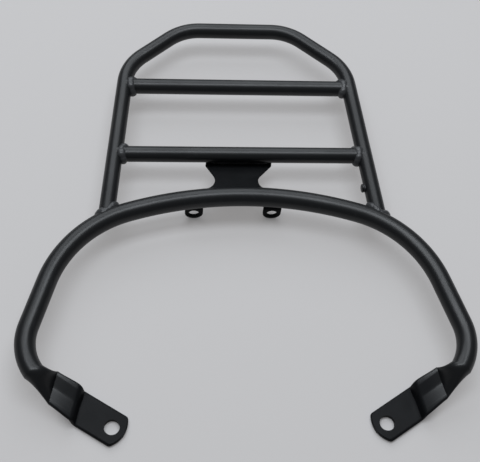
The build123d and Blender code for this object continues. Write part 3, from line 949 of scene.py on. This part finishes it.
class RACK_OT_make_bracket(bpy.types.Operator):
    """Cut the waisted web, fold its two ears down and drill them"""

    bl_idname = "rack.make_bracket"
    bl_label = "Make bracket"

    def execute(self, context):
        scene = context.scene
        hoop, bracket = scene.rack_hoop, scene.rack_bracket
        top = hoop.height - hoop.tube_dia / 2
        fold_y = hoop.reach - bracket.ear_ahead + bracket.sheet + bracket.bend_radius
        fold_z = top - bracket.sheet - bracket.bend_radius
        bm = bmesh.new()
        outline = []
        for side in (1, -1):
            half = self.half_outline(hoop, bracket, side, fold_y)
            outline += half if side > 0 else half[::-1]
        verts = [bm.verts.new((x, y, top)) for x, y in outline]
        web = bm.faces.new(verts)
        made = bmesh.ops.extrude_face_region(bm, geom=[web])["geom"]
        bmesh.ops.translate(bm, verts=verts_of(made), vec=-UP * bracket.sheet)
        bmesh.ops.recalc_face_normals(bm, faces=bm.faces)
        hinge = Vector((0, fold_y, fold_z))
        front = [f for f in bm.faces if abs(f.normal.y + 1) < FACING]
        for face in front:
            middle = face.calc_center_median()
            off_side = abs(middle.x + bracket.shift) > bracket.ear_spacing / 3
            if not off_side or abs(middle.y - fold_y) >= NEAR:
                continue
            spun = bmesh.ops.spin(
                bm,
                geom=[face, *face.edges, *face.verts],
                cent=hinge,
                axis=(1, 0, 0),
                angle=math.pi / 2,
                steps=FOLD_STEPS,
                use_duplicate=False,
            )["geom_last"]
            tail = [g for g in spun if isinstance(g, bmesh.types.BMFace)]
            made = bmesh.ops.extrude_face_region(bm, geom=tail)["geom"]
            bmesh.ops.translate(bm, verts=verts_of(made), vec=-UP * fold_z)
            bmesh.ops.delete(bm, geom=tail, context="FACES_ONLY")
        low = [e for e in bm.edges if all(abs(v.co.z) < NEAR for v in e.verts)]
        bottom = [e for e in low if abs(e.verts[0].co.x - e.verts[1].co.x) < NEAR]
        bmesh.ops.bevel(
            bm,
            geom=bottom,
            offset=bracket.ear_width / 2 * EAR_ROUND,
            offset_type="OFFSET",
            affect="EDGES",
            segments=EAR_SEGMENTS,
            profile=0.5,
            material=-1,
        )
        piece = finish_mesh(bm, "bracket")
        holes = []
        for side in (1, -1):
            x = -bracket.shift + side * bracket.ear_spacing / 2
            spot = Vector((x, hoop.reach - bracket.ear_ahead, bracket.ear_width / 2))
            holes.append((spot, Vector((0, 1, 0)), bracket.ear_hole_dia / 2))
        cut_holes(piece, holes, bracket.edge_round)
        settle(piece, "coated_sheet", "centre_bracket")
        return {"FINISHED"}

    def half_outline(self, hoop, bracket, side, fold_y):
        """One edge of the web in plan, from the inner side of its ear to the rear."""
        spots = []
        places = (bracket.hip, bracket.waist, bracket.flank, bracket.shoulder, bracket.rear)
        for width, setback in places:
            x = web_middle(bracket, setback) + side * width / 2
            spots.append(Vector((x, hoop.reach + setback)))
        inner = (bracket.ear_spacing - bracket.ear_width) / 2
        outer = (bracket.ear_spacing + bracket.ear_width) / 2
        ear = [(inner, fold_y), (outer, fold_y), (outer, fold_y + EAR_ROOT)]
        points = [(-bracket.shift + side * x, y) for x, y in ear]
        return points + arc_to_tangent(*spots[:4], WAIST_STEPS) + [tuple(spot) for spot in spots[3:]]


# Strap peg


PEG_STEPS = 48
PEG_BEAD_STEPS = 96
DOME_STEPS = 8
SMOOTH_PEG = 40
# Where the peg starts inside the rail, in the rail's radii, and how deep its neck has a ring there
PEG_ROOT = 0.6
NECK_SINK = 1 * MM
# Rounding of the head's rim, and how full its dome is
RIM_SOFT = 0.35 * MM
DOME_POWER = 0.8
# Distance of the bead from the neck, in the bead's radii
PEG_BEAD_GAP = 0.3


class RACK_OT_make_peg(bpy.types.Operator):
    """Turn the domed strap peg and its small bead on the right rail"""

    bl_idname = "rack.make_peg"
    bl_label = "Make strap peg"

    def execute(self, context):
        scene = context.scene
        hoop, loop, peg, bead = scene.rack_hoop, scene.rack_loop, scene.rack_peg, scene.rack_bead
        bar_radius = loop.tube_dia / 2
        corner, _, rail, _ = right_rail(hoop, loop)
        base = corner + rail * ((hoop.reach + peg.setback - corner.y) / rail.y)
        inward = rail.cross(UP)
        head = bar_radius + peg.neck_length
        end = head + peg.head_length
        rim, neck = peg.head_dia / 2, peg.neck_dia / 2
        profile = [
            (PEG_ROOT * bar_radius, 0),
            (PEG_ROOT * bar_radius, neck),
            (bar_radius - NECK_SINK, neck),
            (head, neck),
            (head, rim - RIM_SOFT),
            (head + RIM_SOFT, rim),
        ]
        for step in range(DOME_STEPS + 1):
            turn = math.pi / 2 * step / DOME_STEPS
            radius = rim * math.cos(turn) ** DOME_POWER
            profile.append((end - peg.dome + peg.dome * math.sin(turn), radius))
        bm = bmesh.new()
        across = UP.cross(inward)
        verts = [bm.verts.new(base + inward * x + across * max(r, 0)) for x, r in profile]
        edges = [bm.edges.new(ends) for ends in zip(verts, verts[1:])]
        bmesh.ops.spin(
            bm,
            geom=[*verts, *edges],
            cent=base,
            axis=inward,
            angle=2 * math.pi,
            steps=PEG_STEPS,
            use_merge=True,
            use_duplicate=False,
        )
        piece = finish_mesh(bm, "peg", SMOOTH_PEG)
        settle(piece, "coated_peg", "strap_peg")

        points = []
        for step in range(PEG_BEAD_STEPS):
            turn = 2 * math.pi * step / PEG_BEAD_STEPS
            rim = across * math.cos(turn) + UP * math.sin(turn)
            dip = math.sqrt(bar_radius**2 - (neck * math.sin(turn)) ** 2)
            points.append(base + inward * dip + rim * (neck + PEG_BEAD_GAP * bead.peg_radius))
        piece = rippled_bead("bead_peg", points, bead, bead.peg_radius, True, 9)
        settle(piece, "coated_weld", "weld_strap_peg")
        return {"FINISHED"}


# Stage


FLOOR_HALF = 6
FLOOR_GAP = 0.2 * MM
FLOOR_ROUGHNESS = 0.9
# Where the camera stands, in metres, and how far down and right it looks and rolls
CAMERA_PLACE = Vector((-0.07683, -0.2534, 0.798))
TILT, YAW, ROLL = (math.radians(turn) for turn in (60, 9.37, -8.22))
SENSOR = 36
CLIP = (0.05, 30)
# Size and place of each panel, in metres, and where they all look
PANELS = {
    "ceiling": ((2.7, 0.85), Vector((-0.1, 0.62, 2.55))),
    "back": ((2.5, 1.85), Vector((-0.2, 2.15, 1.72))),
}
PANEL_AIM = Vector((0, 0.2, 0))


class RACK_OT_set_stage(bpy.types.Operator):
    """Set the pale floor, the soft lamps and the camera"""

    bl_idname = "rack.set_stage"
    bl_label = "Set stage"

    def execute(self, context):
        scene = context.scene
        stage = scene.rack_stage
        self.make_floor(scene, stage)
        self.light(scene, stage)
        self.aim_camera(scene, stage)
        scene.view_settings.view_transform = "Standard"
        return {"FINISHED"}

    def make_floor(self, scene, stage):
        """A pale floor that keeps part of its tone in the shadows, with a painted contact shadow cut
        into that glow near the rack, and fades into the sky far away.
        """
        bm = bmesh.new()
        bmesh.ops.create_grid(bm, x_segments=1, y_segments=1, size=FLOOR_HALF)
        mesh = bpy.data.meshes.new("floor")
        bm.to_mesh(mesh)
        bm.free()
        floor = bpy.data.objects.new("floor", mesh)
        floor.location.z = CAD_BOX[0].z - FLOOR_GAP
        scene.collection.objects.link(floor)
        material = bpy.data.materials.new("pale floor")
        material.use_nodes = True
        tree = material.node_tree
        shader = tree.nodes["Principled BSDF"]
        shader.inputs["Base Color"].default_value = (*stage.floor, 1)
        shader.inputs["Roughness"].default_value = FLOOR_ROUGHNESS
        ray = add_node(tree, "ShaderNodeLightPath").outputs
        seen = ray["Is Camera Ray"]
        for kind in ("Is Glossy Ray", "Is Transmission Ray"):
            seen = math_node(tree, "MAXIMUM", seen, ray[kind])
        # Ambient occlusion lowers the floor's glow near the rack: a painted contact shadow on top of
        # the lamps' own shadows
        free = add_node(tree, "ShaderNodeAmbientOcclusion", Distance=stage.painted_contact_reach).outputs["AO"]
        place = add_node(tree, "ShaderNodeTexCoord").outputs["Object"]
        own = map_range(tree, free, high=stage.floor_glow)
        far = map_range(tree, length_node(tree, place), *stage.fade, kind="SMOOTHSTEP")
        sky = [tone * stage.sky for tone in stage.sky_tone]
        surface = shader.outputs["BSDF"]
        for tone, amount in ((stage.floor, own), (sky, far)):
            level = math_node(tree, "MULTIPLY", seen, amount)
            glow = add_node(tree, "ShaderNodeEmission", Color=(*tone, 1)).outputs["Emission"]
            surface = add_node(tree, "ShaderNodeMixShader", level, surface, glow).outputs["Shader"]
        feed(tree, tree.nodes["Material Output"].inputs["Surface"], surface)
        mesh.materials.append(material)

    def light(self, scene, stage):
        """An even sky and two wide soft panels, out of the camera's sight."""
        world = bpy.data.worlds.new("studio")
        world.use_nodes = True
        sky = world.node_tree.nodes["Background"]
        sky.inputs["Color"].default_value = (*stage.sky_tone, 1)
        sky.inputs["Strength"].default_value = stage.sky
        scene.world = world
        for title, (size, place) in PANELS.items():
            lamp = bpy.data.lights.new(title + " panel", "AREA")
            lamp.shape = "RECTANGLE"
            lamp.size, lamp.size_y = size
            lamp.energy = getattr(stage, title)
            lamp.color = stage.panel_tone
            holder = bpy.data.objects.new(lamp.name, lamp)
            holder.location = place
            holder.rotation_euler = (PANEL_AIM - place).to_track_quat("-Z", "Y").to_euler()
            holder.visible_camera = False
            scene.collection.objects.link(holder)

    def aim_camera(self, scene, stage):
        """The camera, from its tilt, yaw and roll."""
        lens = bpy.data.cameras.new("camera")
        lens.sensor_fit = "HORIZONTAL"
        lens.sensor_width = SENSOR
        lens.lens = stage.lens
        lens.clip_start, lens.clip_end = CLIP
        camera = bpy.data.objects.new("camera", lens)
        aim = Matrix.Rotation(-YAW, 4, "Z") @ Matrix.Rotation(math.pi / 2 - TILT, 4, "X")
        roll = Matrix.Rotation(-ROLL, 4, "Z")
        camera.matrix_world = Matrix.Translation(CAMERA_PLACE) @ aim @ roll
        scene.collection.objects.link(camera)
        scene.camera = camera


class VIEW3D_PT_rack(bpy.types.Panel):
    """Sizes, coat and stage of the rack, with a button for each piece"""

    bl_idname = "VIEW3D_PT_rack"
    bl_label = "Luggage rack"
    bl_space_type = "VIEW_3D"
    bl_region_type = "UI"
    bl_category = "Rack"

    def draw(self, context):
        for operator in OPERATORS:
            self.layout.operator(operator.bl_idname)
        for title, group in SETTINGS.items():
            box = self.layout.box()
            box.label(text=group.__doc__)
            for field in group.__annotations__:
                box.prop(getattr(context.scene, title), field)


OPERATORS = (
    RACK_OT_make_hoop,
    RACK_OT_coat_platform,
    RACK_OT_make_tube_beads,
    RACK_OT_make_web_beads,
    RACK_OT_make_bracket,
    RACK_OT_make_peg,
    RACK_OT_set_stage,
)
CLASSES = (*SETTINGS.values(), *OPERATORS, VIEW3D_PT_rack)


def register():
    for item in CLASSES:
        bpy.utils.register_class(item)
    for title, group in SETTINGS.items():
        setattr(bpy.types.Scene, title, PointerProperty(type=group))


def unregister():
    for title in SETTINGS:
        delattr(bpy.types.Scene, title)
    for item in reversed(CLASSES):
        bpy.utils.unregister_class(item)


def main():
    register()
    for operator in OPERATORS:
        family, name = operator.bl_idname.split(".")
        getattr(getattr(bpy.ops, family), name)()


if __name__ == "__main__":
    main()
